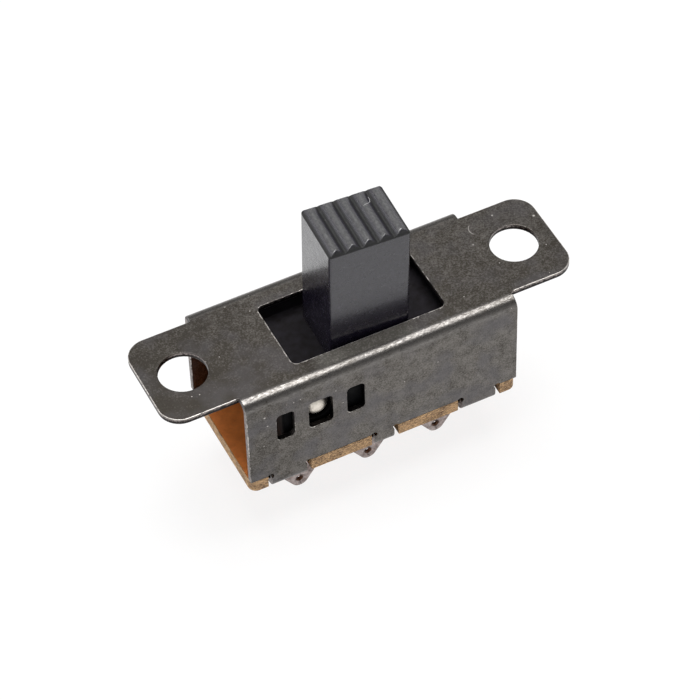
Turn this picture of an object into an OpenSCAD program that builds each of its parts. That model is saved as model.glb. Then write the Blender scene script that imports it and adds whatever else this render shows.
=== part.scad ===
// Slide switch for panel mounting: double pole, three positions, centre off.
// A folded steel frame holds a phenolic base board with six solder terminals. A moulded slider
// carries two bridging contacts on coil springs, and two detent balls on a cross spring.
// Millimetres, +Z up. The origin is under the middle of the switch, at the tips of the terminals.

/* [Steel frame] */
// Thickness of the sheet steel
sheet_t = 0.5; // [0.4:0.05:0.6]
// Length of the channel under the plate
body_l = 23.3; // [22.6:0.1:30]
// Width of the channel over its walls
body_w = 11.1; // [10.9:0.1:14]
// Height from the lower edge of the walls to the top of the plate
wall_h = 9; // [8.6:0.1:12]
// Inside radius of the long folds
fold_r = 0.45; // [0.3:0.05:0.8]

/* [Mounting ears] */
// Distance from the end of the channel to the centre of each mounting hole
hole_out = 2.65; // [2.4:0.05:6]
// Diameter of the mounting holes
hole_d = 3.9; // [3:0.1:4.6]
// Reach of each ear past the centre of its hole
ear_reach = 3.25; // [2.8:0.05:5]
// Width of the ears
ear_w = 8.8; // [7:0.1:9]
// Radius of the corners of the ears
ear_corner_r = 1.8; // [0.5:0.1:3]

/* [Opening in the plate] */
// Length of the opening
opening_l = 13.1; // [12:0.1:15.8]
// Width of the opening
opening_w = 6.6; // [5:0.1:7]
// Radius of the corners of the opening
opening_corner_r = 0.5; // [0.2:0.1:1]

/* [Detent windows] */
// Distance between neighbouring windows, and the room for travel on each side of the carriage
window_pitch = 3; // [2.4:0.1:3.2]
// Distance from the end of the channel to the centre of the nearest window
window_setback = 3.22; // [2.8:0.02:3.6]
// Depth of the centre of the windows below the top of the plate
window_drop = 3.8; // [3.6:0.1:4.6]
// Width of the middle window
mid_window_w = 2.05; // [1.6:0.05:2.2]
// Width of the two outer windows
end_window_w = 1.5; // [1.2:0.05:2]
// Height of the windows
window_h = 2.85; // [2:0.05:3.4]
// Radius of the corners of the windows
window_corner_r = 0.4; // [0.1:0.05:0.5]

/* [Folded tabs] */
// Distance from the end of the wall to the nearest tab
tab_setback = 1.85; // [1.4:0.05:2.5]
// Width of the tabs near the ends
end_tab_w = 3; // [2:0.1:3.4]
// Width of the tab in the middle
mid_tab_w = 1.65; // [1.2:0.05:2.4]
// Reach of the tabs under the board, from the outside of the wall
tab_reach = 1.9; // [1.6:0.1:2.2]
// Inside radius of the fold of each tab
tab_fold_r = 0.4; // [0.3:0.05:0.6]
// Radius of the relief beside each tab
relief_r = 0.28; // [0.2:0.02:0.4]

/* [Base board] */
// Thickness of the board
board_t = 1.2; // [1:0.1:2]
// Gap between a tab and the sides of its notch in the board
notch_gap = 0.35; // [0.2:0.05:0.5]
// Radius of the corners of the board
board_corner_r = 0.7; // [0.3:0.1:1.2]

/* [Terminals] */
// Distance between neighbouring terminals in a row
terminal_pitch = 6.1; // [5.6:0.1:6.4]
// Distance of each row from the middle of the board
terminal_row = 2.2; // [2:0.05:2.4]
// Thickness of the terminal strip
strip_t = 0.4; // [0.3:0.05:0.5]
// Width of the solder lugs
lug_w = 2.9; // [2:0.1:3.4]
// Length of the solder lugs below the board
lug_l = 5.6; // [4:0.1:8]
// Radius of the tip of the lugs
lug_tip_r = 0.75; // [0.6:0.05:0.9]
// Slope of the tapered sides above the tip, in degrees
lug_taper = 55; // [50:1:70]
// Diameter of the hole in the lugs
lug_hole_d = 0.6; // [0.4:0.1:0.8]
// Distance from the tip of a lug to the centre of its hole
lug_hole_up = 0.75; // [0.6:0.05:2]
// Width of the neck that passes through the board
neck_w = 1.7; // [1.2:0.1:2]
// Width of the contact pad on the board
pad_w = 2.4; // [2:0.1:2.6]
// Reach of the contact pad from the neck towards the wall
pad_reach = 2.1; // [1.8:0.1:2.3]
// Gap round the neck in its slot
slot_gap = 0.06; // [0.04:0.01:0.1]

/* [Slider] */
// Depth of the top of the carriage below the top of the plate
carriage_drop = 1.9; // [1.4:0.1:2.1]
// Gap between the carriage and each wall
side_gap = 0.16; // [0.1:0.02:0.3]
// Gap left at the end of the channel when the slider is at its limit
end_gap = 0.25; // [0.05:0.05:0.4]
// Running gap above and below the slider
running_gap = 0.06; // [0.04:0.01:0.1]
// Width of the two rails that run under the plate
rail_w = 0.9; // [0.6:0.05:1.2]
// Thickness of the walls round the hollows under the carriage
core_wall = 0.9; // [0.6:0.1:1.2]
// Height of the knob above the top of the plate
knob_h = 9.95; // [6:0.05:14]
// Gap between the knob and the sides of the opening
knob_side_gap = 0.6; // [0.2:0.05:0.9]
// Length of the knob along the travel
knob_l = 6.7; // [6:0.05:6.8]
// Distance of the knob from the middle of the carriage towards +X, which limits the travel that way
knob_shift = 0.35; // [-0.4:0.05:0.4]
// Radius of the upright edges of the knob
knob_edge_r = 0.22; // [0.1:0.02:0.4]
// Number of ridges on top of the knob
ridges = 5; // [3:1:8]
// Height of the ridges
ridge_h = 0.38; // [0.2:0.02:0.6]
// Width of the flat crest of each ridge
crest_w = 0.22; // [0.1:0.02:0.4]

/* [Detent balls and spring] */
// Diameter of the balls
ball_d = 2.4; // [2:0.05:2.5]
// Gap between a ball and the wall that it runs along
ball_gap = 0.03; // [0.02:0.01:0.06]
// Diameter of the wire of the detent spring
detent_wire_d = 0.3; // [0.2:0.02:0.36]
// Number of working turns of the detent spring
detent_turns = 7; // [5:1:9]

/* [Contacts] */
// Length by which a bridging contact exceeds the pitch of the terminals
bridge_overlap = 1.1; // [0.6:0.1:1.4]
// Width of the bridging contacts
bridge_w = 1.9; // [1.4:0.1:2]
// Thickness of the bridging contacts
bridge_t = 0.3; // [0.2:0.05:0.4]
// Height of the turned-up ends of the bridging contacts
bridge_end_h = 1.1; // [0.8:0.1:1.4]
// Outside diameter of the contact springs
contact_spring_d = 1.7; // [1.4:0.1:1.9]
// Diameter of the wire of the contact springs
contact_wire_d = 0.24; // [0.16:0.02:0.3]
// Number of working turns of the contact springs
contact_turns = 5; // [3:1:8]

/* [Hidden] */
$fn = 48;
// Length by which a cutter passes the face that it cuts
over = 0.2;
travel = window_pitch;
hole_pitch = body_l + 2 * hole_out;
fold_outer_r = fold_r + sheet_t;
overall_l = hole_pitch + 2 * ear_reach;
inner_w = body_w - 2 * sheet_t;

// Heights of the stack, from the tips of the lugs upwards
board_bottom = lug_l;
board_top = board_bottom + board_t;
plate_top = board_top + wall_h;
plate_bottom = plate_top - sheet_t;
pad_top = board_top + strip_t;
window_z = plate_top - window_drop;

// Tabs: places along the wall and the fold under the board
end_tab_x = body_l / 2 - tab_setback - end_tab_w / 2;
TABS = [[-end_tab_x, end_tab_w], [0, mid_tab_w], [end_tab_x, end_tab_w]];
tab_outer_r = tab_fold_r + sheet_t;
leaf_bottom = board_bottom - sheet_t;
notch_end_gap = 0.08;
notch_depth = tab_outer_r + notch_end_gap;

// Windows: places and widths along the wall
window_offset = body_l / 2 - window_setback - window_pitch;
WINDOWS = [
    [-window_offset - window_pitch, end_window_w],
    [-window_offset, mid_window_w],
    [-window_offset + window_pitch, end_window_w],
];

// Slider
carriage_l = body_l - 2 * (travel + end_gap);
carriage_w = inner_w - 2 * side_gap;
carriage_top = plate_top - carriage_drop;
carriage_bottom = pad_top + 2 * running_gap;
carriage_edge_r = 0.3;
rail_top = plate_bottom - running_gap;
rail_outer = inner_w / 2 - fold_r - side_gap;
knob_w = opening_w - 2 * knob_side_gap;
knob_top = plate_top + knob_h;
ridge_pitch = knob_l / ridges;

// Detent
bore_gap = 0.05;
ball_y = inner_w / 2 - ball_gap - ball_d / 2;
coil_inset = 0.35;
detent_coil_r = ball_d / 2 - coil_inset;
seat_gap = 0.02;
// Distance from the centre of a ball to the plane of the spring coil that rests against it
coil_seat = sqrt(pow((ball_d + detent_wire_d) / 2 + seat_gap, 2) - pow(detent_coil_r, 2));
detent_spring_l = 2 * (ball_y - coil_seat) + detent_wire_d;

// Contacts
neck_fold_r = 0.2;
pad_outer = terminal_row - strip_t / 2 + pad_reach;
bridge_l = terminal_pitch + bridge_overlap;
pad_margin = 0.1;
bridge_y = pad_outer - bridge_w / 2 - pad_margin;
pad_gap = 0.03;
bridge_bottom = pad_top + pad_gap;
bridge_top = bridge_bottom + bridge_t;
bridge_fold_r = 0.35;
pocket_gap = 0.1;
lift_gap = 0.3;
pocket_top = bridge_bottom + bridge_end_h + lift_gap;
well_rise = 0.5;
well_top = window_z + well_rise;
well_gap = 0.1;
well_d = contact_spring_d + 2 * well_gap;
contact_spring_l = well_top - bridge_top - 2 * seat_gap;

STEEL = [0.34, 0.33, 0.31];
BRIGHT_STEEL = [0.78, 0.78, 0.78];
PHENOLIC = [0.52, 0.28, 0.13];
MOULDING = [0.13, 0.13, 0.14];
BRONZE = [0.72, 0.5, 0.28];
TINNED = [0.76, 0.72, 0.7];

// ---------------------------------------------------------------- shared shapes

// Upright prism with four rounded edges, standing on the XY plane
module rounded_prism(length, width, height, r) {
    translate([-length / 2, -width / 2 + r, 0])
        cube([length, width - 2 * r, height]);
    translate([-length / 2 + r, -width / 2, 0])
        cube([length - 2 * r, width, height]);
    for (x = [-1, 1], y = [-1, 1])
        translate([x * (length / 2 - r), y * (width / 2 - r), 0])
            cylinder(h = height, r = r);
}

// Quarter of a bent strip: its axis is X, and it joins the directions +Y and +Z
module quarter_bend(length, inner_r, thickness) {
    rotate([90, 0, 90])
        linear_extrude(height = length, center = true)
            intersection() {
                difference() {
                    circle(r = inner_r + thickness);
                    circle(r = inner_r);
                }
                square(inner_r + thickness);
            }
}

// Copies the near side of the switch to the far side too
module both_sides() {
    children();
    mirror([0, 1, 0]) children();
}

// Height of the wire of a closed-end coil spring after t turns
function coil_rise(t, turns, end_rise, work_rise) =
    end_rise * (min(t, 1) + max(t - turns - 1, 0)) + work_rise * min(max(t - 1, 0), turns);

// Points of the ring of wire after t turns
function coil_ring(t, z, mean_r, wire_r, sides) = [
    for (j = [0 : sides - 1])
        let (a = 360 * t, b = 360 * j / sides, r = mean_r + wire_r * cos(b))
            [r * cos(a), r * sin(a), z + wire_r * sin(b)]
];

// Compression spring with one closed turn at each end, standing on the XY plane
module coil_spring(length, mean_r, wire_d, turns) {
    sides = 8;
    steps = 16;
    wire_r = wire_d / 2;
    end_rise = 1.12 * wire_d;
    work_rise = (length - wire_d - 2 * end_rise) / turns;
    rings = steps * (turns + 2);
    points = [
        for (i = [0 : rings])
            let (t = i / steps, z = wire_r + coil_rise(t, turns, end_rise, work_rise))
                each coil_ring(t, z, mean_r, wire_r, sides)
    ];
    walls = [
        for (i = [0 : rings - 1], j = [0 : sides - 1])
            let (k = (j + 1) % sides)
                [i * sides + j, i * sides + k, (i + 1) * sides + k, (i + 1) * sides + j]
    ];
    first_cap = [for (j = [sides - 1 : -1 : 0]) j];
    last_cap = [for (j = [0 : sides - 1]) rings * sides + j];
    polyhedron(points = points, faces = concat(walls, [first_cap, last_cap]), convexity = 10);
}

// ---------------------------------------------------------------- steel frame

// Flat part of the plate with the two ears, lying on the XY plane
module plate_blank() {
    rounded_prism(overall_l, ear_w, sheet_t, ear_corner_r);
    translate([-body_l / 2, -body_w / 2 + fold_outer_r, 0])
        cube([body_l, body_w - 2 * fold_outer_r, sheet_t]);
}

// Near wall with the long fold that joins it to the plate
module near_wall() {
    translate([-body_l / 2, -body_w / 2, board_top])
        cube([body_l, sheet_t, wall_h - fold_outer_r]);
    translate([0, -body_w / 2 + fold_outer_r, plate_top - fold_outer_r])
        mirror([0, 1, 0])
            quarter_bend(body_l, fold_r, sheet_t);
}

// Tab that passes through the near edge of the board and is folded under it
module near_tab(x, width) {
    straight = board_top - leaf_bottom - tab_outer_r;
    flat = tab_reach - tab_outer_r;
    translate([x, -body_w / 2, leaf_bottom]) {
        translate([-width / 2, 0, tab_outer_r])
            cube([width, sheet_t, straight]);
        translate([0, tab_outer_r, tab_outer_r])
            rotate([180, 0, 0])
                quarter_bend(width, tab_fold_r, sheet_t);
        translate([-width / 2, tab_outer_r, 0])
            cube([width, flat, sheet_t]);
    }
}

// Round reliefs cut beside a tab, where it leaves the wall
module tab_reliefs(x, width) {
    reach = (width + relief_r) / 2;
    for (side = [-1, 1])
        translate([x + side * reach, (sheet_t - body_w) / 2, board_top - relief_r / 2])
            rotate([90, 0, 0])
                cylinder(h = sheet_t + over, r = relief_r, center = true);
}

// Window cut through both walls
module detent_window(x, width) {
    translate([x, 0, window_z])
        rotate([90, 0, 0])
            translate([0, 0, -body_w / 2 - over])
                rounded_prism(width, window_h, body_w + 2 * over, window_corner_r);
}

module frame() {
    color(STEEL)
        difference() {
            union() {
                translate([0, 0, plate_bottom])
                    plate_blank();
                both_sides() {
                    near_wall();
                    for (tab = TABS)
                        near_tab(tab[0], tab[1]);
                }
            }
            translate([0, 0, plate_bottom - over])
                rounded_prism(opening_l, opening_w, sheet_t + 2 * over, opening_corner_r);
            for (side = [-1, 1])
                translate([side * hole_pitch / 2, 0, plate_bottom - over])
                    cylinder(h = sheet_t + 2 * over, d = hole_d);
            for (window = WINDOWS)
                detent_window(window[0], window[1]);
            both_sides()
                for (tab = TABS)
                    tab_reliefs(tab[0], tab[1]);
        }
}

// ---------------------------------------------------------------- base board

// Notch that lets a tab through the near edge of the board
module tab_notch(x, width) {
    translate([x - width / 2 - notch_gap, -body_w / 2 - over, board_bottom - over])
        cube([width + 2 * notch_gap, notch_depth + over, board_t + 2 * over]);
}

// Slot that takes the neck of a terminal of the near row
module neck_slot(x) {
    slot_l = neck_w + 2 * slot_gap;
    slot_w = strip_t + neck_fold_r + 2 * slot_gap;
    slot_y = -terminal_row + strip_t / 2 + slot_gap - slot_w;
    translate([x - slot_l / 2, slot_y, board_bottom - over])
        cube([slot_l, slot_w, board_t + 2 * over]);
}

module base_board() {
    color(PHENOLIC)
        difference() {
            translate([0, 0, board_bottom])
                rounded_prism(body_l, body_w, board_t, board_corner_r);
            both_sides() {
                for (tab = TABS)
                    tab_notch(tab[0], tab[1]);
                for (i = [-1 : 1])
                    neck_slot(i * terminal_pitch);
            }
        }
}

// ---------------------------------------------------------------- terminals

// Outline of the solder lug, with its tip at the origin and its length along +Y
module lug_outline() {
    side_x = lug_tip_r * sin(lug_taper);
    side_y = lug_tip_r * (1 - cos(lug_taper));
    flare = side_y + (lug_w / 2 - side_x) * tan(lug_taper);
    translate([0, lug_tip_r])
        circle(r = lug_tip_r);
    polygon([
        [-side_x, side_y],
        [-lug_w / 2, flare],
        [-lug_w / 2, lug_l],
        [lug_w / 2, lug_l],
        [lug_w / 2, flare],
        [side_x, side_y],
    ]);
}

// Terminal of the near row at x = 0: lug, shoulders under the board, neck, and pad on the board
module near_terminal() {
    neck_y = -terminal_row + strip_t / 2;
    hole_r = lug_hole_d / 2;
    color(TINNED)
        difference() {
            union() {
                translate([0, neck_y, 0])
                    rotate([90, 0, 0])
                        linear_extrude(height = strip_t)
                            lug_outline();
                translate([-neck_w / 2, neck_y - strip_t, board_bottom])
                    cube([neck_w, strip_t, board_t - neck_fold_r]);
                translate([0, neck_y - strip_t - neck_fold_r, board_top - neck_fold_r])
                    quarter_bend(neck_w, neck_fold_r, strip_t);
                translate([-pad_w / 2, -pad_outer, board_top])
                    cube([pad_w, pad_outer + neck_y - strip_t - neck_fold_r, strip_t]);
            }
            translate([0, -terminal_row, lug_hole_up])
                rotate([90, 0, 0])
                    cylinder(h = strip_t + over, r = hole_r, center = true);
            translate([0, neck_y - strip_t, lug_hole_up])
                rotate([90, 0, 0])
                    cylinder(h = strip_t, r1 = hole_r, r2 = hole_r + strip_t, center = true);
        }
}

module terminal(column, far) {
    translate([column * terminal_pitch, 0, 0])
        if (far)
            mirror([0, 1, 0]) near_terminal();
        else
            near_terminal();
}

// ---------------------------------------------------------------- slider

// Ridge across the top of the knob, with its sides and both ends bevelled
module knob_ridge() {
    root = 0.1;
    intersection() {
        rotate([90, 0, 0])
            linear_extrude(height = knob_w, center = true)
                polygon([
                    [-ridge_pitch / 2, -root],
                    [-ridge_pitch / 2, 0],
                    [-crest_w / 2, ridge_h],
                    [crest_w / 2, ridge_h],
                    [ridge_pitch / 2, 0],
                    [ridge_pitch / 2, -root],
                ]);
        rotate([90, 0, 90])
            linear_extrude(height = ridge_pitch, center = true)
                polygon([
                    [-knob_w / 2, -root],
                    [-knob_w / 2, 0],
                    [-knob_w / 2 + ridge_h, ridge_h],
                    [knob_w / 2 - ridge_h, ridge_h],
                    [knob_w / 2, 0],
                    [knob_w / 2, -root],
                ]);
    }
}

module knob() {
    base = carriage_top - 0.5;
    intersection() {
        translate([0, 0, base])
            rounded_prism(knob_l, knob_w, knob_top - base, knob_edge_r);
        union() {
            translate([-knob_l / 2, -knob_w / 2, base])
                cube([knob_l, knob_w, knob_top - ridge_h - base]);
            for (i = [0 : ridges - 1])
                translate([(i - (ridges - 1) / 2) * ridge_pitch, 0, knob_top - ridge_h])
                    knob_ridge();
        }
    }
}

// Pocket and spring well for the near bridging contact
module near_contact_pocket() {
    translate([-bridge_l / 2 - pocket_gap, -bridge_y - bridge_w / 2 - pocket_gap, carriage_bottom - over])
        cube([bridge_l + 2 * pocket_gap, bridge_w + 2 * pocket_gap, pocket_top - carriage_bottom + over]);
    translate([0, -bridge_y, pocket_top - over])
        cylinder(h = well_top - pocket_top + over, d = well_d);
}

// Hollows moulded into the underside of the carriage between its walls
module core_pockets() {
    end_x = carriage_l / 2 - core_wall;
    inner_x = bridge_l / 2 + pocket_gap + core_wall;
    pocket_w = carriage_w - 2 * core_wall;
    roof = window_z - ball_d / 2 - bore_gap - core_wall;
    for (side = [-1, 1])
        translate([side > 0 ? inner_x : -end_x, -pocket_w / 2, carriage_bottom - over])
            cube([end_x - inner_x, pocket_w, roof - carriage_bottom + over]);
}

module slider() {
    rail_l = carriage_l - 2 * carriage_edge_r;
    carriage_h = carriage_top - carriage_bottom;
    color(MOULDING)
        difference() {
            union() {
                translate([0, 0, carriage_bottom])
                    rounded_prism(carriage_l, carriage_w, carriage_h, carriage_edge_r);
                both_sides()
                    translate([-rail_l / 2, -rail_outer, carriage_top - over])
                        cube([rail_l, rail_w, rail_top - carriage_top + over]);
                translate([knob_shift, 0, 0])
                    knob();
            }
            translate([-window_offset, 0, window_z])
                rotate([90, 0, 0])
                    cylinder(h = carriage_w + 2 * over, d = ball_d + 2 * bore_gap, center = true);
            both_sides()
                near_contact_pocket();
            core_pockets();
        }
}

// ---------------------------------------------------------------- detent

module detent_ball(side) {
    color(BRIGHT_STEEL)
        translate([-window_offset, side * ball_y, window_z])
            sphere(d = ball_d);
}

module detent_spring() {
    color(BRIGHT_STEEL)
        translate([-window_offset, detent_spring_l / 2, window_z])
            rotate([90, 0, 0])
                coil_spring(detent_spring_l, detent_coil_r, detent_wire_d, detent_turns);
}

// ---------------------------------------------------------------- bridging contacts

// Strip with both ends turned up, so that it slides on and off the pads
module contact_bridge(side) {
    flat_l = bridge_l - 2 * (bridge_fold_r + bridge_t);
    color(BRONZE)
        translate([0, side * bridge_y, bridge_bottom]) {
            translate([-flat_l / 2, -bridge_w / 2, 0])
                cube([flat_l, bridge_w, bridge_t]);
            for (turn = [0, 180])
                rotate([0, 0, turn])
                    translate([flat_l / 2, 0, bridge_fold_r + bridge_t]) {
                        rotate([0, 0, -90])
                            rotate([-90, 0, 0])
                                quarter_bend(bridge_w, bridge_fold_r, bridge_t);
                        translate([bridge_fold_r, -bridge_w / 2, 0])
                            cube([bridge_t, bridge_w, bridge_end_h - bridge_fold_r - bridge_t]);
                    }
        }
}

module contact_spring(side) {
    coil_r = (contact_spring_d - contact_wire_d) / 2;
    color(BRIGHT_STEEL)
        translate([0, side * bridge_y, bridge_top + seat_gap])
            coil_spring(contact_spring_l, coil_r, contact_wire_d, contact_turns);
}

// ---------------------------------------------------------------- the switch

frame();
base_board();
slider();
detent_ball(-1);  // detent_ball_near
detent_ball(1);  // detent_ball_far
detent_spring();
contact_bridge(-1);  // contact_bridge_near
contact_bridge(1);  // contact_bridge_far
contact_spring(-1);  // contact_spring_near
contact_spring(1);  // contact_spring_far
terminal(-1, false);  // terminal_near_left
terminal(0, false);  // terminal_near_centre
terminal(1, false);  // terminal_near_right
terminal(-1, true);  // terminal_far_left
terminal(0, true);  // terminal_far_centre
terminal(1, true);  // terminal_far_right
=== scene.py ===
import math

import bmesh
import bpy
import numpy as np
from mathutils import Matrix, Vector


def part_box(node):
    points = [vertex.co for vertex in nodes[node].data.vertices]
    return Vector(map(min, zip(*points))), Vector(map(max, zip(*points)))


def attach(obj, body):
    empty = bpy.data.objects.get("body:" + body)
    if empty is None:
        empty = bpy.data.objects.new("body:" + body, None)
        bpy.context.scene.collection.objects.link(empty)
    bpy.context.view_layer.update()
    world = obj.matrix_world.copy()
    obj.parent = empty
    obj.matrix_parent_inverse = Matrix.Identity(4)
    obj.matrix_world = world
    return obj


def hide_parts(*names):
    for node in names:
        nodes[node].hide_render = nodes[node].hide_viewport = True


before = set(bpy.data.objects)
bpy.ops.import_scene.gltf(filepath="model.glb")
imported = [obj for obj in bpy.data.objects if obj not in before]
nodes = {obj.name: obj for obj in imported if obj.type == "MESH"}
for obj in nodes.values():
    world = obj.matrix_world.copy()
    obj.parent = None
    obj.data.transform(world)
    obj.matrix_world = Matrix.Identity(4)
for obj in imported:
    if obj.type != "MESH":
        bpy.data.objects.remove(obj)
bpy.context.view_layer.update()

# ---------------------------------------------------------------- camera
# A long lens looks down on the near left of the switch, turned a little about its own axis.
CAMERA_PLACE = (-0.072766, -0.154702, 0.206869)
CAMERA_YAW = math.radians(25.126)
CAMERA_PITCH = math.radians(48.930)
CAMERA_ROLL = math.radians(1.994)
FOCAL_LENGTH = 170.81


def look_matrix(place, yaw, pitch, roll):
    """Camera matrix: yaw turns from +Y towards +X, pitch tips down, roll turns about the line of sight."""
    ahead = np.array([math.sin(yaw) * math.cos(pitch), math.cos(yaw) * math.cos(pitch), -math.sin(pitch)])
    level = np.array([math.cos(yaw), -math.sin(yaw), 0.0])
    down = np.cross(ahead, level)
    right = math.cos(roll) * level + math.sin(roll) * down
    lower = math.cos(roll) * down - math.sin(roll) * level
    matrix = np.eye(4)
    matrix[:3, 0], matrix[:3, 1], matrix[:3, 2], matrix[:3, 3] = right, -lower, -ahead, place
    return Matrix(matrix.tolist())


camera_data = bpy.data.cameras.new("camera")
camera_data.sensor_width = 36.0
camera_data.lens = FOCAL_LENGTH
camera_data.clip_start, camera_data.clip_end = 0.01, 10.0
camera = bpy.data.objects.new("camera", camera_data)
camera.matrix_world = look_matrix(CAMERA_PLACE, CAMERA_YAW, CAMERA_PITCH, CAMERA_ROLL)
bpy.context.scene.collection.objects.link(camera)
bpy.context.scene.camera = camera
bpy.context.scene.view_settings.view_transform = "Standard"

# ---------------------------------------------------------------- studio
# A white sweep under the switch, a wide soft box overhead towards the front, a weaker one at the
# left, and a grey room round them that gets lighter towards the horizon.
FLOOR_SIZE = 6.0
FLOOR_WHITE = (0.92, 0.92, 0.92, 1.0)
WHITE = (1.0, 1.0, 1.0, 1.0)
SHADOW_LIFT = 0.85
HORIZON_GREY, CEILING_GREY, CEILING_FROM = 0.75, 0.18, 0.6
SOFT_BOXES = [
    # name, place, what it faces, size along X and along its other side, watts to a square metre
    ("overhead", (0.02, 0.02, 0.30), (0.02, 0.02, 0.0), (0.20, 0.23), 25.6),
    ("left", (-0.32, 0.22, 0.19), (0.0, 0.0, 0.0), (0.25, 0.25), 7.2),
]


def build(tree, kind, inputs=None, **settings):
    """New shader node: settings are its properties, inputs its sockets' values or what feeds them."""
    made = tree.nodes.new("ShaderNode" + kind)
    for name, value in settings.items():
        setattr(made, name, value)
    for name, value in (inputs or {}).items():
        if isinstance(value, bpy.types.NodeSocket):
            tree.links.new(value, made.inputs[name])
        else:
            made.inputs[name].default_value = value
    return made


def ramp(tree, value, low, high, start=0.0, end=1.0):
    """Value from low to high stretched to start to end, and held at both ends."""
    return build(
        tree,
        "MapRange",
        {"Value": value, "From Min": low, "From Max": high, "To Min": start, "To Max": end},
        clamp=True,
    ).outputs[0]


def combine(tree, first, second, operation="ADD"):
    """The two numbers added, or joined by another operation."""
    return build(tree, "Math", {0: first, 1: second}, operation=operation).outputs[0]


world = bpy.data.worlds.new("room")
bpy.context.scene.world = world
world.use_nodes = True
room = world.node_tree
room.nodes.clear()
room_ray = build(room, "LightPath").outputs
room_way = build(room, "TexCoord").outputs["Generated"]
room_height = build(room, "SeparateXYZ", {"Vector": room_way}).outputs["Z"]
room_grey = ramp(room, room_height, 0.0, CEILING_FROM, HORIZON_GREY, CEILING_GREY)
room_light = build(room, "Background", {"Color": WHITE, "Strength": room_grey}).outputs[0]
room_white = build(room, "Background", {"Color": WHITE, "Strength": 1.0}).outputs[0]
room_mix = build(room, "MixShader", {0: room_ray["Is Camera Ray"], 1: room_light, 2: room_white})
build(room, "OutputWorld", {"Surface": room_mix.outputs[0]})

floor_mesh = bpy.data.meshes.new("floor")
half = FLOOR_SIZE / 2
floor_mesh.from_pydata(
    [(-half, -half, 0), (half, -half, 0), (half, half, 0), (-half, half, 0)], [], [(0, 1, 2, 3)]
)
floor = bpy.data.objects.new("floor", floor_mesh)
bpy.context.scene.collection.objects.link(floor)
paper_material = bpy.data.materials.new("white_paper")
paper_material.use_nodes = True
paper = paper_material.node_tree
paper.nodes.clear()
paper_ray = build(paper, "LightPath").outputs
paper_matt = build(paper, "BsdfDiffuse", {"Color": FLOOR_WHITE}).outputs[0]
paper_glow = build(paper, "Emission", {"Color": WHITE, "Strength": 1.0}).outputs[0]
paper_lifted = build(paper, "MixShader", {0: SHADOW_LIFT, 1: paper_matt, 2: paper_glow}).outputs[0]
paper_seen = combine(paper, paper_ray["Is Camera Ray"], paper_ray["Is Glossy Ray"], "MAXIMUM")
paper_mix = build(paper, "MixShader", {0: paper_seen, 1: paper_matt, 2: paper_lifted})
build(paper, "OutputMaterial", {"Surface": paper_mix.outputs[0]})
floor_mesh.materials.append(paper_material)

for name, place, aim, (width, depth), watts in SOFT_BOXES:
    lamp_data = bpy.data.lights.new(name, "AREA")
    lamp_data.shape = "RECTANGLE"
    lamp_data.size, lamp_data.size_y = width, depth
    lamp_data.energy = width * depth * watts
    lamp = bpy.data.objects.new(name, lamp_data)
    lamp.location = place
    lamp.rotation_mode = "QUATERNION"
    lamp.rotation_quaternion = (Vector(aim) - Vector(place)).to_track_quat("-Z", "Y")
    lamp.visible_camera = False
    bpy.context.scene.collection.objects.link(lamp)

# ---------------------------------------------------------------- steel frame
# One piece of plated sheet steel, blanked and folded. A cut edge is bright where the punch slid
# along it and dark where the sheet tore, and near-black as painted shade in the windows. Handling
# rubs the plating off the corners, and the bare steel on the rims also stands for painted highlight lines.

# Metres. Points closer together than ONE_POINT are one, and a point closer than ON_PLANE to a
# cutting plane lies on it.
SHEET = 0.0005
CORNER_RUB = 0.000055
WINDOW_HEIGHT = 0.012
ONE_POINT, ON_PLANE = 0.000001, 0.0000001

# An edge sharper than CREASE is rounded, and faces that turn less than FLAT make one flat. A
# face is turned to an axis if its normal's part along it passes TURNED, and square past SQUARE.
CREASE = math.radians(25)
FLAT = math.radians(0.5)
TURNED, SQUARE = 0.2, 0.99
ALONG, ACROSS, UP = (1, 0, 0), (0, 1, 0), (0, 0, 1)


def merged_copy(node, name, cuts, trim=None):
    """New piece from a CAD node's triangles: doubles merged, each flat made one face. The planes in
    cuts, each a point and a normal, pass through the holes, so that no face has to ring a hole."""
    mesh = nodes[node].data.copy()
    mesh.name = name
    mesh.materials.clear()
    skin = bmesh.new()
    skin.from_mesh(mesh)
    bmesh.ops.remove_doubles(skin, verts=skin.verts, dist=ONE_POINT)
    if trim:
        trim(skin)
    for point, normal in cuts:
        whole = skin.verts[:] + skin.edges[:] + skin.faces[:]
        sliced = bmesh.ops.bisect_plane(skin, geom=whole, dist=ON_PLANE, plane_co=point, plane_no=normal)
        for part in sliced["geom_cut"]:
            if isinstance(part, bmesh.types.BMEdge):
                part.seam = True
    bmesh.ops.dissolve_limit(
        skin, angle_limit=FLAT / 2, verts=skin.verts, edges=skin.edges, delimit={"SEAM"}
    )
    for face in skin.faces:
        face.smooth = True
    skin.to_mesh(mesh)
    skin.free()
    piece = bpy.data.objects.new(name, mesh)
    bpy.context.scene.collection.objects.link(piece)
    return piece


def face_table(mesh):
    """Centres, normals and areas of a mesh's faces, one row for each face."""
    count = len(mesh.polygons)
    centres, normals, areas = np.zeros(count * 3), np.zeros(count * 3), np.zeros(count)
    mesh.polygons.foreach_get("center", centres)
    mesh.polygons.foreach_get("normal", normals)
    mesh.polygons.foreach_get("area", areas)
    return centres.reshape(-1, 3), normals.reshape(-1, 3), areas


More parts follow.
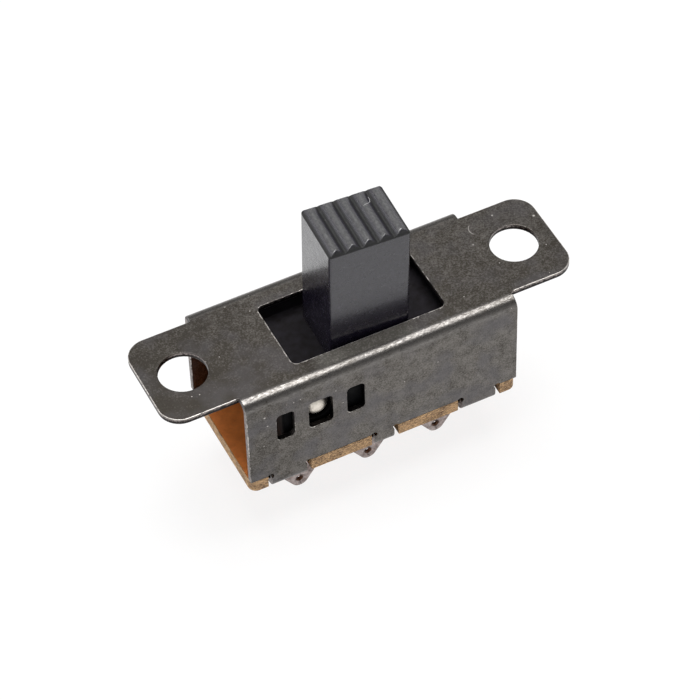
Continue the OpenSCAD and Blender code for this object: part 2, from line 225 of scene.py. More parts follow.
def level_shading(mesh):
    """Normals that keep flats flat: faces that lie in one plane and touch make one flat, and a
    vertex's normal is the mean of its faces' normals, each times the square of its flat's area."""
    normals, areas = face_table(mesh)[1:]
    sizes = np.zeros(len(mesh.polygons), dtype=np.int32)
    mesh.polygons.foreach_get("loop_total", sizes)
    face = np.repeat(np.arange(len(sizes)), sizes)
    corner, edge = np.zeros(len(face), dtype=np.int32), np.zeros(len(face), dtype=np.int32)
    mesh.loops.foreach_get("vertex_index", corner)
    mesh.loops.foreach_get("edge_index", edge)
    order = np.argsort(edge, kind="stable")
    paired = np.flatnonzero(edge[order][1:] == edge[order][:-1])
    one, other = face[order][paired], face[order][paired + 1]
    level = np.einsum("ij,ij->i", normals[one], normals[other]) > math.cos(FLAT)
    one, other = one[level], other[level]
    flat, before = np.arange(len(sizes)), None
    while before is None or (flat != before).any():
        before = flat.copy()
        np.minimum.at(flat, one, before[other])
        np.minimum.at(flat, other, before[one])
        flat = flat[flat]
    weight = np.bincount(flat, weights=areas, minlength=len(sizes))[flat] ** 2
    total = np.zeros((len(mesh.vertices), 3))
    np.add.at(total, corner, (normals * weight[:, None])[face])
    total /= np.linalg.norm(total, axis=1)[:, None]
    mesh.normals_split_custom_set_from_vertices(total.tolist())


def round_corners(piece, width, material=-1):
    """Rounds every edge sharper than CREASE by two narrow strips, which get the given material."""
    rounding = piece.modifiers.new("rounding", "BEVEL")
    rounding.width = width
    rounding.segments = 2
    rounding.limit_method = "ANGLE"
    rounding.angle_limit = CREASE
    rounding.use_clamp_overlap = False
    rounding.material = material
    finished = bpy.data.meshes.new_from_object(piece.evaluated_get(bpy.context.evaluated_depsgraph_get()))
    piece.modifiers.clear()
    piece.data = finished
    level_shading(finished)


def take_place(piece, node, body):
    """Lets a finished piece stand for a CAD node: it goes on the given body, and the node is hidden."""
    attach(piece, body)
    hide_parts(node)


def start_material(name):
    """Empty node material, with the object's own coordinates in millimetres to read patterns from."""
    made = bpy.data.materials.new(name)
    made.use_nodes = True
    tree = made.node_tree
    tree.nodes.clear()
    place = build(tree, "TexCoord")
    mm = build(tree, "VectorMath", {0: place.outputs["Object"], "Scale": 1000.0}, operation="SCALE")
    return made, tree, mm.outputs[0]


NOISE_RANGE = (0.3, 0.7)


def noise(tree, mm, scale, detail=3.0, rough=0.55, warp=0.0):
    """Noise pattern of that many grains to a millimetre."""
    return build(
        tree,
        "TexNoise",
        {"Vector": mm, "Scale": scale, "Detail": detail, "Roughness": rough, "Distortion": warp},
    ).outputs["Fac"]


def spread(tree, pattern, low=0.0, high=1.0):
    """Number from low to high, as a noise goes over its usual range, NOISE_RANGE."""
    return ramp(tree, pattern, *NOISE_RANGE, low, high)


def between(tree, share, none, full):
    """Number from none to full, as share goes from 0 to 1."""
    return ramp(tree, share, 0.0, 1.0, none, full)


def blend(tree, share, first, second):
    """Colour that goes from first to second as share goes from 0 to 1."""
    made = tree.nodes.new("ShaderNodeMix")
    made.data_type = "RGBA"
    for socket, value in ((made.inputs[0], share), (made.inputs[6], first), (made.inputs[7], second)):
        if isinstance(value, bpy.types.NodeSocket):
            tree.links.new(value, socket)
        else:
            socket.default_value = value
    return made.outputs[2]


def product(tree, number, *others):
    """All the numbers multiplied."""
    for other in others:
        number = combine(tree, number, other, "MULTIPLY")
    return number


def where(tree, *limits):
    """Share that is 1 past every limit. Each limit is a value, the number up to which the share
    is 0, and the number from which it is 1."""
    return product(tree, *(ramp(tree, *limit) for limit in limits))


def coordinates(tree, mm):
    """The place along, across and up the switch, as three numbers."""
    place = build(tree, "SeparateXYZ", {"Vector": mm}).outputs
    return place["X"], place["Y"], place["Z"]


def unsigned(tree, value):
    """The number without its sign."""
    return build(tree, "Math", {0: value}, operation="ABSOLUTE").outputs[0]


def hypotenuse(tree, first, second):
    """Root of the sum of the two squares."""
    squares = [combine(tree, value, 2.0, "POWER") for value in (first, second)]
    return combine(tree, combine(tree, *squares), 0.5, "POWER")


def outwards(tree, along, across, half, radius):
    """How far out a point of a plate with rounded corners lies: it is radius on the outline, and
    the hypotenuse of how far the two distances pass the half sides less radius."""
    past = [
        combine(tree, combine(tree, value, reach - radius, "SUBTRACT"), 0.0, "MAXIMUM")
        for value, reach in zip((along, across), half)
    ]
    return hypotenuse(tree, *past)


def specks(tree, mm, cells, size, share):
    """Small round spots of that size in a share of the cells, so many cells to a millimetre."""
    cell = build(tree, "TexVoronoi", {"Vector": mm, "Scale": cells, "Randomness": 1.0})
    pick = build(tree, "SeparateColor", {"Color": cell.outputs["Color"]})
    return where(tree, (cell.outputs["Distance"], size, size / 2), (pick.outputs[0], 1 - share, 1.01 - share))


def curved_scratch(tree, mm, centre, radius, line):
    """Scratch along an upright cylinder: 1 where the distance from its axis is within a third of
    line of radius, and 0 from line on."""
    flat = build(tree, "Mapping", {"Vector": mm, "Scale": (1.0, 1.0, 0.0)}).outputs[0]
    away = build(tree, "VectorMath", {0: flat, 1: centre}, operation="DISTANCE").outputs["Value"]
    return ramp(tree, unsigned(tree, combine(tree, away, radius, "SUBTRACT")), line, line / 3)


def finish_material(tree, inputs, height, depth, strength):
    """Principled surface with these inputs, dented by height, whose full range is depth in metres."""
    dent = build(tree, "Bump", {"Height": height, "Distance": depth, "Strength": strength})
    surface = build(tree, "BsdfPrincipled", {**inputs, "Normal": dent.outputs[0]})
    build(tree, "OutputMaterial", {"Surface": surface.outputs[0]})


PLATING_DARK = (0.054, 0.048, 0.041, 1)
PLATING_LIGHT = (0.187, 0.174, 0.161, 1)
PLATING_VIOLET = (0.110, 0.105, 0.113, 1)
PLATING_BURNISHED = (0.205, 0.195, 0.185, 1)
# Painted light: the lighter colours of the patch on the plate's near strip, where the knob's reflection
# falls.
PAINTED_PATCH_DARK = (0.066, 0.061, 0.053, 1)
PAINTED_PATCH_LIGHT = (0.245, 0.228, 0.208, 1)
BARE_STEEL = (0.55, 0.52, 0.49, 1)
SHEARED_LIGHT = (0.30, 0.262, 0.25, 1)
SHEARED_DARK = (0.045, 0.038, 0.035, 1)
TORN_AND_SHADED = (0.022, 0.019, 0.018, 1)

# Places where the finish changes, in millimetres: where a change begins and where it is complete.
TOP_FACE, UPPER_RIM = (15.5, 15.7), (15.6, 15.7)
FOLD_SIDE, FOLD_HEIGHT = (4.45, 4.7), (14.8, 15.15)
PAINTED_PATCH_LEFT, PAINTED_PATCH_RIGHT = (-5.4, -4.2), (3.8, 2.6)
PAINTED_PATCH_BACK, PAINTED_PATCH_FRONT = (-2.8, -3.2), (-4.7, -4.45)
FAR_RIM, RIGHT_RIM = (3.2, 2.9), (6.5, 6.2)
EAR, WALL_END, BELOW_FOLD = (11.8, 12.0), (11.57, 11.6), (15.0, 14.8)
WINDOWS_TOP, WINDOWS_FOOT = (14.2, 13.8), (9.8, 10.2)
CUT_END, BELOW_PLATE, PUNCH_SLID, TABS = (11.4, 11.5), (15.3, 15.2), (15.55, 15.65), (9.0, 8.5)
# The opening and the plate: half sides and corner radius, and how far out they are rubbed and painted with
# highlight lines.
OPENING, OPENING_RIM = ((6.55, 3.3), 0.5), (0.64, 0.58)
PLATE, PLATE_RIM = ((17.55, 4.4), 1.8), (1.72, 1.75)
# The curved scratch on the right ear: its circle, its width, and the two straight ends of it.
MARK = ((12.49, 2.74, 0.0), 0.69, 0.055)
MARK_RIGHT, MARK_NEAR = (12.12, 12.0), (2.25, 2.35)
# Two places, and what is added to the plating's tone, or to its wear and painted highlight, at the first and
# the second.
# The four tone changes are painted shade and light: the plate darker towards its near side and left end and
# lighter to the right, the walls lighter away from their left end.
PAINTED_SHADE_ACROSS, PAINTED_LIGHT_ALONG = (-4.4, 4.4, -0.46, -0.11), (-17, 17, -0.1, 0.1)
PAINTED_SHADE_LEFT_END, PAINTED_LIGHT_WALL = (-11.5, -7.5, -0.2, 0.0), (-11.5, -4.0, -0.05, 0.33)
WINDOWS_SHARE = (-0.8, -1.6, 0.0, 0.25)
# Shares of the full effect.
TONE_RANGE, VIOLET_SHARE, WALL_PATCHES = 0.735, 0.35, 1.7
HANDLED_AND_HIGHLIT, OTHER_RIMS_SHARE, WALL_END_SHARE = 0.3, 0.4, 0.4
PAINTED_PATCH_METAL, MARK_SHARE = 0.15, 0.5
NICKS, NICK_SHARE = ((0.7, 0.09), (1.7, 0.1)), 0.13


def plating_tone_and_painted_light(tree, mm, grain, top):
    """How light the plating is, from dark at 0: its grain and wide patches, with painted shade on the plate
    towards the near left, and painted light on the walls away from their left end."""
    x, y, _ = coordinates(tree, mm)
    patch = spread(tree, noise(tree, mm, 1.1, detail=4.0, rough=0.6), -0.25, 0.25)
    patch = product(tree, patch, between(tree, top, WALL_PATCHES, 1.0))
    # Painted shade and light by place: the plate darker towards its near side and left end, the walls lighter
    # away from their left end.
    plate = combine(tree, ramp(tree, y, *PAINTED_SHADE_ACROSS), ramp(tree, x, *PAINTED_LIGHT_ALONG))
    plate = combine(tree, plate, ramp(tree, x, *PAINTED_SHADE_LEFT_END))
    patch = combine(tree, patch, between(tree, top, ramp(tree, x, *PAINTED_LIGHT_WALL), plate))
    return product(tree, combine(tree, ramp(tree, grain, 0.37, 0.63), patch), TONE_RANGE)


def worn_and_highlit_places(tree, mm):
    """Where handling wears the plating, and where bare steel is painted as highlight lines: the rims of the
    opening, most the near and the left one, the upper rim of the ears, and less the ends of the walls and the
    windows left of the middle."""
    x, y, height = coordinates(tree, mm)
    along, across = unsigned(tree, x), unsigned(tree, y)
    # The thin ring just outside the opening and the ears' upper rim are painted highlight lines as well as
    # wear.
    opening = ramp(tree, outwards(tree, along, across, *OPENING), *OPENING_RIM)
    near_left = combine(tree, ramp(tree, y, *FAR_RIM), ramp(tree, x, *RIGHT_RIM), "MINIMUM")
    opening = product(tree, opening, between(tree, near_left, OTHER_RIMS_SHARE, 1.0))
    ear = ramp(tree, outwards(tree, along, across, *PLATE), *PLATE_RIM)
    ear = product(tree, ear, where(tree, (along, *EAR), (height, *UPPER_RIM)))
    wall_end = product(tree, where(tree, (along, *WALL_END), (height, *BELOW_FOLD)), WALL_END_SHARE)
    windows = where(tree, (height, *WINDOWS_TOP), (height, *WINDOWS_FOOT))
    windows = product(tree, windows, ramp(tree, x, *WINDOWS_SHARE))
    return combine(tree, combine(tree, wall_end, combine(tree, opening, ear)), windows)


def plating(name, rub_low, rub_high):
    """Dull plating with bright nicks, burnished lengthways on the two folds, lighter and duller on the near
    strip of the plate as painted light over the knob's reflection there, and scratched on the right ear.
    Steel begins to show where a noise, with HANDLED_AND_HIGHLIT times the wear and painted highlight of the
    place added to it, passes rub_low."""
    made, tree, mm = start_material(name)
    x, y, height = coordinates(tree, mm)
    top = ramp(tree, height, *TOP_FACE)
    grain = noise(tree, mm, 7.0, detail=3.0, rough=0.75)
    tone = plating_tone_and_painted_light(tree, mm, grain, top)
    violet = ramp(tree, noise(tree, mm, 0.4, detail=3.0, rough=0.5), 0.45, 0.65, 0.0, VIOLET_SHARE)
    violet = product(tree, violet, between(tree, top, WALL_PATCHES, 1.0))
    colour = blend(tree, violet, blend(tree, tone, PLATING_DARK, PLATING_LIGHT), PLATING_VIOLET)
    for cells, size in NICKS:
        colour = blend(tree, specks(tree, mm, cells, size, NICK_SHARE), colour, BARE_STEEL)

    fold = where(tree, (unsigned(tree, y), *FOLD_SIDE), (height, *FOLD_HEIGHT))
    drawn = build(tree, "Mapping", {"Vector": mm, "Scale": (3.5, 9.0, 9.0)}).outputs[0]
    streak = ramp(tree, noise(tree, drawn, 1.0, detail=4.0, rough=0.7), 0.34, 0.64)
    colour = blend(tree, product(tree, fold, streak), colour, PLATING_BURNISHED)
    # Painted light: a lighter, less metallic patch on the plate's near strip in front of the knob, where the
    # knob's reflection would darken it.
    painted_patch = where(tree, (x, *PAINTED_PATCH_LEFT), (x, *PAINTED_PATCH_RIGHT), (y, *PAINTED_PATCH_BACK), (y, *PAINTED_PATCH_FRONT))
    painted_patch = product(tree, painted_patch, top)
    colour = blend(tree, painted_patch, colour, blend(tree, tone, PAINTED_PATCH_DARK, PAINTED_PATCH_LIGHT))
    worn_and_highlit = product(tree, worn_and_highlit_places(tree, mm), HANDLED_AND_HIGHLIT)
    bare = ramp(tree, combine(tree, noise(tree, mm, 2.4, detail=4.0, rough=0.7), worn_and_highlit), rub_low, rub_high)
    colour = blend(tree, bare, colour, BARE_STEEL)
    mark = where(tree, (x, *MARK_RIGHT), (y, *MARK_NEAR))
    mark = product(tree, curved_scratch(tree, mm, *MARK), mark, top, MARK_SHARE)
    colour = blend(tree, mark, colour, BARE_STEEL)

    dull = spread(tree, noise(tree, mm, 2.6), 0.33, 0.42)
    finish_material(
        tree,
        {
            "Base Color": colour,
            "Metallic": combine(tree, between(tree, painted_patch, 1.0, PAINTED_PATCH_METAL), bare, "MAXIMUM"),
            "Roughness": between(tree, fold, dull, between(tree, streak, 0.44, 0.24)),
        },
        height=grain,
        depth=0.00001,
        strength=0.25,
    )
    return made


def sheared_edge(name):
    """Cut edge of the sheet, torn in grains. It is bright on the ends of the walls, on the tabs, and in the
    upper third of the ears' edges, where the punch slid, and near-black elsewhere: partly where the sheet
    tore, partly painted shade, as in the windows."""
    made, tree, mm = start_material(name)
    x, _, height = coordinates(tree, mm)
    tear = noise(tree, mm, 4.5, detail=4.0, rough=0.7)
    colour = blend(tree, ramp(tree, tear, 0.36, 0.6), SHEARED_DARK, SHEARED_LIGHT)
    wall_end = where(tree, (unsigned(tree, x), *CUT_END), (height, *BELOW_PLATE))
    slid = combine(tree, height, spread(tree, tear, -0.08, 0.08))
    bright = combine(tree, wall_end, ramp(tree, slid, *PUNCH_SLID), "MAXIMUM")
    bright = combine(tree, bright, ramp(tree, height, *TABS), "MAXIMUM")
    finish_material(
        tree,
        # Near-black where the edge is not bright: partly the torn part of the cut, partly painted shade, as
        # in the windows.
        {"Base Color": blend(tree, bright, TORN_AND_SHADED, colour), "Metallic": 1.0, "Roughness": 0.42},
        height=tear,
        depth=0.00005,
        strength=0.6,
    )
    return made


steel = merged_copy("frame", "frame_steel_shell", [((0, 0, 0), ACROSS), ((0, 0, WINDOW_HEIGHT), UP)])
steel.data.materials.append(plating("plated_steel", rub_low=0.76, rub_high=0.8))
steel.data.materials.append(sheared_edge("sheared_steel"))
# The rounded corners show more bare steel: partly wear, partly painted highlight lines along the edges.
steel.data.materials.append(plating("rubbed_and_highlit_corners", rub_low=0.64, rub_high=0.74))

# Cut are the faces turned towards either end, the long edges of the plate and of the opening, the
# sills of the windows with the lower edges of the walls, and the ends of the tabs.
low, high = (np.array(corner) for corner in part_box("frame"))
plate_under, wall_inside = high[2] - SHEET, high[1] - SHEET
centres, normals = face_table(steel.data)[:2]
across, up = np.abs(centres[:, 1]), centres[:, 2]
endways, sideways, upright = (np.abs(normals) > (TURNED, SQUARE, SQUARE)).T
cut = endways | (sideways & (up > plate_under))
cut |= upright & (across > wall_inside) & (up < plate_under - 2 * SHEET)
cut |= sideways & (across < wall_inside - 2 * SHEET) & (up < low[2] + SHEET)
steel.data.polygons.foreach_set("material_index", cut.astype(np.int32))
round_corners(steel, CORNER_RUB, material=2)
take_place(steel, "frame", "housing")

# ---------------------------------------------------------------- base board
# Phenolic laminate, punched to shape and held by the tabs of the frame. Its faces are orange-brown
# and smooth, and the punched edges show the pale paper layers.
LAMINATE = (0.88, 0.268, 0.060, 1)
LAMINATE_DEEP = (0.65, 0.18, 0.038, 1)
PAPER_EDGE = (0.56, 0.35, 0.175, 1)
PAPER_EDGE_DARK = (0.060, 0.026, 0.011, 1)

# Metres.
PUNCHED_CORNER = 0.00005
TERMINAL_ROW = 0.0022


def laminate_face():
    """Smooth resin face, a little deeper in colour in clouds."""
    made, tree, mm = start_material("laminate_face")
    clouds = spread(tree, noise(tree, mm, 1.6, detail=5.0, rough=0.65))
    finish_material(
        tree,
        {"Base Color": blend(tree, clouds, LAMINATE_DEEP, LAMINATE), "Roughness": 0.42},
        height=noise(tree, mm, 8.0, detail=3.0),
        depth=0.00002,
        strength=0.3,
    )
    return made


def laminate_edge():
    """Punched edge: pale and dark paper fibres along the layers, with crumbled spots."""
    made, tree, mm = start_material("laminate_edge")
    layers = build(tree, "Mapping", {"Vector": mm, "Scale": (1.0, 1.0, 3.2)}).outputs[0]
    fibre = noise(tree, layers, 3.2, detail=5.0, rough=0.75, warp=0.4)
    patch = ramp(tree, noise(tree, mm, 1.1, detail=3.0, rough=0.6), 0.35, 0.65, -0.15, 0.25)
    tone = combine(tree, ramp(tree, fibre, 0.34, 0.6), patch)
    finish_material(
        tree,
        {"Base Color": blend(tree, tone, PAPER_EDGE_DARK, PAPER_EDGE), "Roughness": 0.75},
        height=fibre,
        depth=0.00012,
        strength=0.7,
    )
    return made


slot_planes = [((0, TERMINAL_ROW, 0), ACROSS), ((0, -TERMINAL_ROW, 0), ACROSS)]
board = merged_copy("base_board", "base_board_laminate", slot_planes)
board.data.materials.append(laminate_face())
board.data.materials.append(laminate_edge())
punched = np.abs(face_table(board.data)[1][:, 2]) < 0.5
board.data.polygons.foreach_set("material_index", punched.astype(np.int32))
round_corners(board, PUNCHED_CORNER, material=1)
take_place(board, "base_board", "housing")

# ---------------------------------------------------------------- terminals
# Six blanked brass strips with a soft coat of tin, pushed up through the board and folded over it.
# Each has a solder lug below the board and a contact pad on it.
TIN = (0.46, 0.40, 0.385, 1)
TIN_DULL = (0.12, 0.088, 0.080, 1)
HOLE_SHADE_BROWN = (0.10, 0.045, 0.025, 1)
HOLE_SHADE_DARK = (0.03, 0.015, 0.010, 1)

# Metres.
TERMINAL_PITCH = 0.0061
HOLE_HEIGHT, HOLE_RADIUS, HOLE_COATED = 0.00075, 0.0003, 0.00014
LUG_CORNER = 0.00006

# Millimetres: from where to where the dimple round the hole gets its painted shade.
HOLE_SHADE_RANGE = (0.37, 0.29)


def tinned():
    """Soft coat of tin in dull and bright patches, and painted shade, dark brown, in the dimple round the
    hole.
    The distance from the nearest lug's middle is the smaller of the place in its pitch, counted
    up and then down again, and of what is left of the pitch."""
    made, tree, mm = start_material("tinned_brass")
    x, _, height = coordinates(tree, mm)
    dull = ramp(tree, noise(tree, mm, 2.2, detail=5.0, rough=0.7), 0.35, 0.7)
    pitch = 1000 * TERMINAL_PITCH
    column = combine(tree, unsigned(tree, x), pitch, "PINGPONG")
    column = combine(tree, column, combine(tree, pitch, column, "SUBTRACT"), "MINIMUM")
    away = hypotenuse(tree, column, combine(tree, height, 1000 * HOLE_HEIGHT, "SUBTRACT"))
    # Painted shade: the dark brown round the hole stands for the dark seen through it.
    brown = blend(tree, ramp(tree, noise(tree, mm, 4.0), 0.35, 0.65), HOLE_SHADE_BROWN, HOLE_SHADE_DARK)
    colour = blend(tree, ramp(tree, away, *HOLE_SHADE_RANGE), blend(tree, dull, TIN, TIN_DULL), brown)
    finish_material(
        tree,
        {
            "Base Color": colour,
            "Metallic": 1.0,
            "Roughness": spread(tree, noise(tree, mm, 3.5, detail=3.0), 0.22, 0.42),
        },
        height=noise(tree, mm, 3.0, detail=4.0, rough=0.6),
        depth=0.00006,
        strength=0.5,
    )
    return made


def narrow_hole(mesh, middle):
    """Draws the rim of the lug's hole in to HOLE_COATED, as the tin does: the points up to a
    twentieth further from its middle than HOLE_RADIUS."""
    points = np.zeros(len(mesh.vertices) * 3)
    mesh.vertices.foreach_get("co", points)
    points = points.reshape(-1, 3)
    away = points[:, [0, 2]] - (middle, HOLE_HEIGHT)
    rim = np.hypot(*away.T) < HOLE_RADIUS * 1.05
    points[np.ix_(rim, [0, 2])] = away[rim] * HOLE_COATED / HOLE_RADIUS + (middle, HOLE_HEIGHT)
    mesh.vertices.foreach_set("co", points.ravel())
    mesh.update()


tin = tinned()
for row in ("near", "far"):
    for step, column in enumerate(("left", "centre", "right")):
        middle = (step - 1) * TERMINAL_PITCH
        lug = merged_copy(f"terminal_{row}_{column}", f"lug_{row}_{column}", [((middle, 0, 0), ALONG)])
        lug.data.materials.append(tin)
        narrow_hole(lug.data, middle)
        round_corners(lug, LUG_CORNER)
        take_place(lug, f"terminal_{row}_{column}", "housing")

# ---------------------------------------------------------------- slider
# One black moulding: a carriage that runs under the plate, and the knob with its thumb ridges.
# It is injection moulded, so its edges are softly rounded, and use has scuffed and smeared it.
# Its ridges carry painted shade in the grooves and on the slanted ends, painted light on the
# crests along with their scuffing, and painted glints at the crests' near ends.
MOULDING = (0.0120, 0.0102, 0.0190, 1)
MOULDING_WORN = (0.030, 0.027, 0.036, 1)
# Crest colours, partly scuffed matt, partly painted light; the near-black of the painted shade in grooves and
# on slanted ends; the white of scuffs and of painted glints.
LIT_MATT_DARK = (0.034, 0.034, 0.036, 1)
LIT_MATT_LIGHT = (0.088, 0.087, 0.089, 1)
GROOVE_SHADE_BLACK = (0.003, 0.003, 0.003, 1)
SCUFF_AND_GLINT_WHITE = (0.36, 0.35, 0.36, 1)
# Below its top the carriage is painted near-black as shade inside the housing; its top has dust and grease.
CARRIAGE_SHADE_BLACK = (0.0025, 0.0025, 0.003, 1)
CARRIAGE_GRIME = (0.007, 0.006, 0.006, 1)
CARRIAGE_WORN = (0.0165, 0.0150, 0.0185, 1)

# Metres. The faces above the carriage's top and nearer to the middle than KNOB_REACH are the knob's.
CARRIAGE_CORNER, CARRIAGE_TOP, BORE_ROW = 0.00009, 0.0139, -0.00543
KNOB_REACH = 0.0029

# Millimetres, and angles in radians. The shift is from the carriage's middle to the knob's, and
# the play is how far the knob has moved, turned and leant in its opening.
KNOB_LENGTH, KNOB_WIDTH, KNOB_SHIFT = 6.7, 5.4, 0.35
KNOB_CORNER, KNOB_RIM = 0.24, 0.1
KNOB_FOOT, RIDGE_FOOT, RIDGE_HEIGHT = 13.4, 25.37, 0.38
RIDGES, CREST_WIDTH = 5, 0.40
GROOVE_ROUNDING, CREST_ROUNDING, BEVEL_ROUNDING = 0.12, 0.3, 0.06
KNOB_RINGS = (RIDGE_FOOT - KNOB_RIM - 0.04, RIDGE_FOOT - 0.8, KNOB_FOOT + 0.3, KNOB_FOOT)
KNOB_TWIST, KNOB_LEAN = math.radians(-2.3), math.radians(1.45)
KNOB_PLAY, KNOB_PIVOT = (-0.08, -0.2, -0.09), 15.6

# Rows of points over half the knob's length and half its width, over the rounding of its rim, and
# over what is left of its corner. From BEVEL_MARGIN before the slanted ends on they are closer.
LENGTH_ROWS, WIDTH_ROWS, RIM_ROWS, CORNER_ROWS, BEVEL_MARGIN = 66, 9, 7, 4, 0.15

# Wear and painted light of a ridge, as shares of the way from a groove to the crest: where the
# crest is, where the scuffed and painted-light part begins and is complete, the same for the
# painted shade of the groove, and how wide the painted glints are. Then the glints' reach in
# millimetres, and how much painted shade the slanted ends get.
CREST_PLACE, LIT_MATT_FROM, LIT_MATT_FULL, SHADE_FROM, SHADE_FULL, GLINT_WIDTH = 0.45, 0.4, 0.8, 0.5, 0.2, 0.2
GLINT_REACH, BEVEL_DIRT = 0.06, -0.9

# Curved scratch on the knob's top: its circle, its width, and where it begins, ends and lies.
HOOK = ((1.79, 1.53, 0.0), 0.72, 0.035)
HOOK_LEFT, HOOK_FAR, KNOB_TOP = (1.65, 1.75), (1.7, 1.6), (25.0, 25.1)
CARRIAGE_SURFACE = (13.6, 13.8)

# Shares of the full effect, and the roughness of the three states of the knob's surface.
GLINT_SHARE, SCORE_SHARE, COAT_SHARE = 0.6, 0.35, 0.5
GLOSS_ROUGH, MATT_ROUGH, SHADE_ROUGH = 0.19, 0.42, 0.4


def drop_knob(skin):
    """Takes the knob off the copied carriage and closes the hole that it leaves."""
    knob_faces = []
    for face in skin.faces:
        middle = face.calc_center_median()
        if middle.z > CARRIAGE_TOP + ONE_POINT and abs(middle.y) < KNOB_REACH:
            knob_faces.append(face)
    bmesh.ops.delete(skin, geom=knob_faces, context="FACES")
    bmesh.ops.holes_fill(skin, edges=[edge for edge in skin.edges if edge.is_boundary])
    bmesh.ops.recalc_face_normals(skin, faces=skin.faces)


def grid_faces(number):
    """Quads between neighbouring rows and columns of a grid of point numbers."""
    corners = [number[:-1, :-1], number[1:, :-1], number[1:, 1:], number[:-1, 1:]]
    return np.stack(corners, axis=-1).reshape(-1, 4).tolist()


def shell_piece(name, points, faces, material, wear_and_light=None):
    """New piece from points in millimetres and the point numbers of each face. If wear_and_light is given, it
    is kept as an attribute: a number for each point that says how it is worn and where light and shade are
    painted."""
    mesh = bpy.data.meshes.new(name)
    mesh.from_pydata((points.reshape(-1, 3) / 1000).tolist(), [], faces)
    mesh.polygons.foreach_set("use_smooth", np.ones(len(faces), dtype=bool))
    mesh.materials.append(material)
    if wear_and_light is not None:
        mesh.attributes.new("wear_and_light", "FLOAT", "POINT").data.foreach_set("value", wear_and_light)
    mesh.validate()
    level_shading(mesh)
    piece = bpy.data.objects.new(name, mesh)
    bpy.context.scene.collection.objects.link(piece)
    return piece


def mirrored(values):
    """Values that start at 0, with their opposites in front of them."""
    return np.concatenate([-values[:0:-1], values])


def soft_least(one, other, reach):
    """The smaller of two heights, rounded off where they come closer than reach: the least less
    a quarter of reach times the square of how far the gap falls short of reach."""
    near = np.maximum(reach - np.abs(one - other), 0) / reach
    return np.minimum(one, other) - near**2 * reach / 4


def knob_plan():
    """Grid over the knob's plan, closer at the rim, and how far each point lies inside the rim.
    p and q go from 0 to 1 over the corner's two sides, and the corners of the grid are drawn in
    to quarter circles: p times the root of 1 - q*q/2, and q times the root of 1 - p*p/2."""
    half = np.array([KNOB_LENGTH, KNOB_WIDTH]) / 2
    inner = half - KNOB_CORNER
    bend = KNOB_RIM * (1 - np.cos(np.linspace(0, math.pi / 2, RIM_ROWS)))
    rim = np.concatenate([bend, np.linspace(KNOB_RIM, KNOB_CORNER, CORNER_ROWS)[1:-1]])[::-1]
    bevel_end = half[1] - RIDGE_HEIGHT - BEVEL_MARGIN
    ridged = np.linspace(0, bevel_end, WIDTH_ROWS)[:-1]
    slanted = np.linspace(bevel_end, inner[1], WIDTH_ROWS)
    along = mirrored(np.concatenate([np.linspace(0, inner[0], LENGTH_ROWS), half[0] - rim]))
    across = mirrored(np.concatenate([ridged, slanted, half[1] - rim]))
    x, y = np.meshgrid(along, across, indexing="ij")
    p = np.clip((np.abs(x) - half[0]) / KNOB_CORNER + 1, 0, 1)
    q = np.clip((np.abs(y) - half[1]) / KNOB_CORNER + 1, 0, 1)
    reach_x = np.minimum(np.abs(x), inner[0]) + KNOB_CORNER * p * np.sqrt(1 - q**2 / 2)
    reach_y = np.minimum(np.abs(y), inner[1]) + KNOB_CORNER * q * np.sqrt(1 - p**2 / 2)
    inwards = KNOB_CORNER * (1 - np.sqrt(p**2 + q**2 - p**2 * q**2))
    return np.sign(x) * reach_x, np.sign(y) * reach_y, inwards


def ridge_heights(x, y):
    """Height of each point over the ridges' foot, and how far it lies inside the slanted end of
    its ridge. A ridge goes up with the distance from its nearest groove and is levelled off at
    RIDGE_HEIGHT, and its two ends go up with the distance from the side; the smaller one counts."""
    pitch = KNOB_LENGTH / RIDGES
    beat = np.abs((x / pitch + RIDGES / 2 + 0.5) % 1 - 0.5) * pitch
    from_groove = np.hypot(beat, GROOVE_ROUNDING) - GROOVE_ROUNDING
    flank = from_groove * RIDGE_HEIGHT / (pitch / 2 - CREST_WIDTH / 2)
    ridge = soft_least(flank, np.full_like(flank, RIDGE_HEIGHT), CREST_ROUNDING)
    from_side = KNOB_WIDTH / 2 - np.abs(y)
    return soft_least(ridge, from_side, BEVEL_ROUNDING), from_side - ridge


def ridge_wear_and_light(x, y, clear):
    """Wear and painted light of each point: from -1 in the grooves, painted shade, to 1 on the crests,
    which are scuffed and painted light, BEVEL_DIRT of painted shade on the slanted ends, and up to 2 more
    for a painted glint at the near end of a crest. That is 2 times e to the power of minus the squares of
    how far off it lies along and across, in GLINT_WIDTH and GLINT_REACH."""
    step = (x / (KNOB_LENGTH / RIDGES) + RIDGES / 2) % 1
    crest = np.minimum(step / CREST_PLACE, (1 - step) / (1 - CREST_PLACE))
    wear_and_light_share = np.clip((crest - LIT_MATT_FROM) / (LIT_MATT_FULL - LIT_MATT_FROM), 0, 1)
    painted_shade = np.clip((SHADE_FROM - crest) / (SHADE_FROM - SHADE_FULL), 0, 1)
    # Painted shade in the grooves and on the slanted ends, painted light on the crests along with their
    # scuffing.
    wear = np.where(clear > 0, wear_and_light_share - painted_shade, BEVEL_DIRT)
    # Painted glint at the near end of each crest.
    glint = np.exp(-(((crest - 1) / GLINT_WIDTH) ** 2) - (clear / GLINT_REACH) ** 2)
    return wear + 2 * glint * (y < 0)


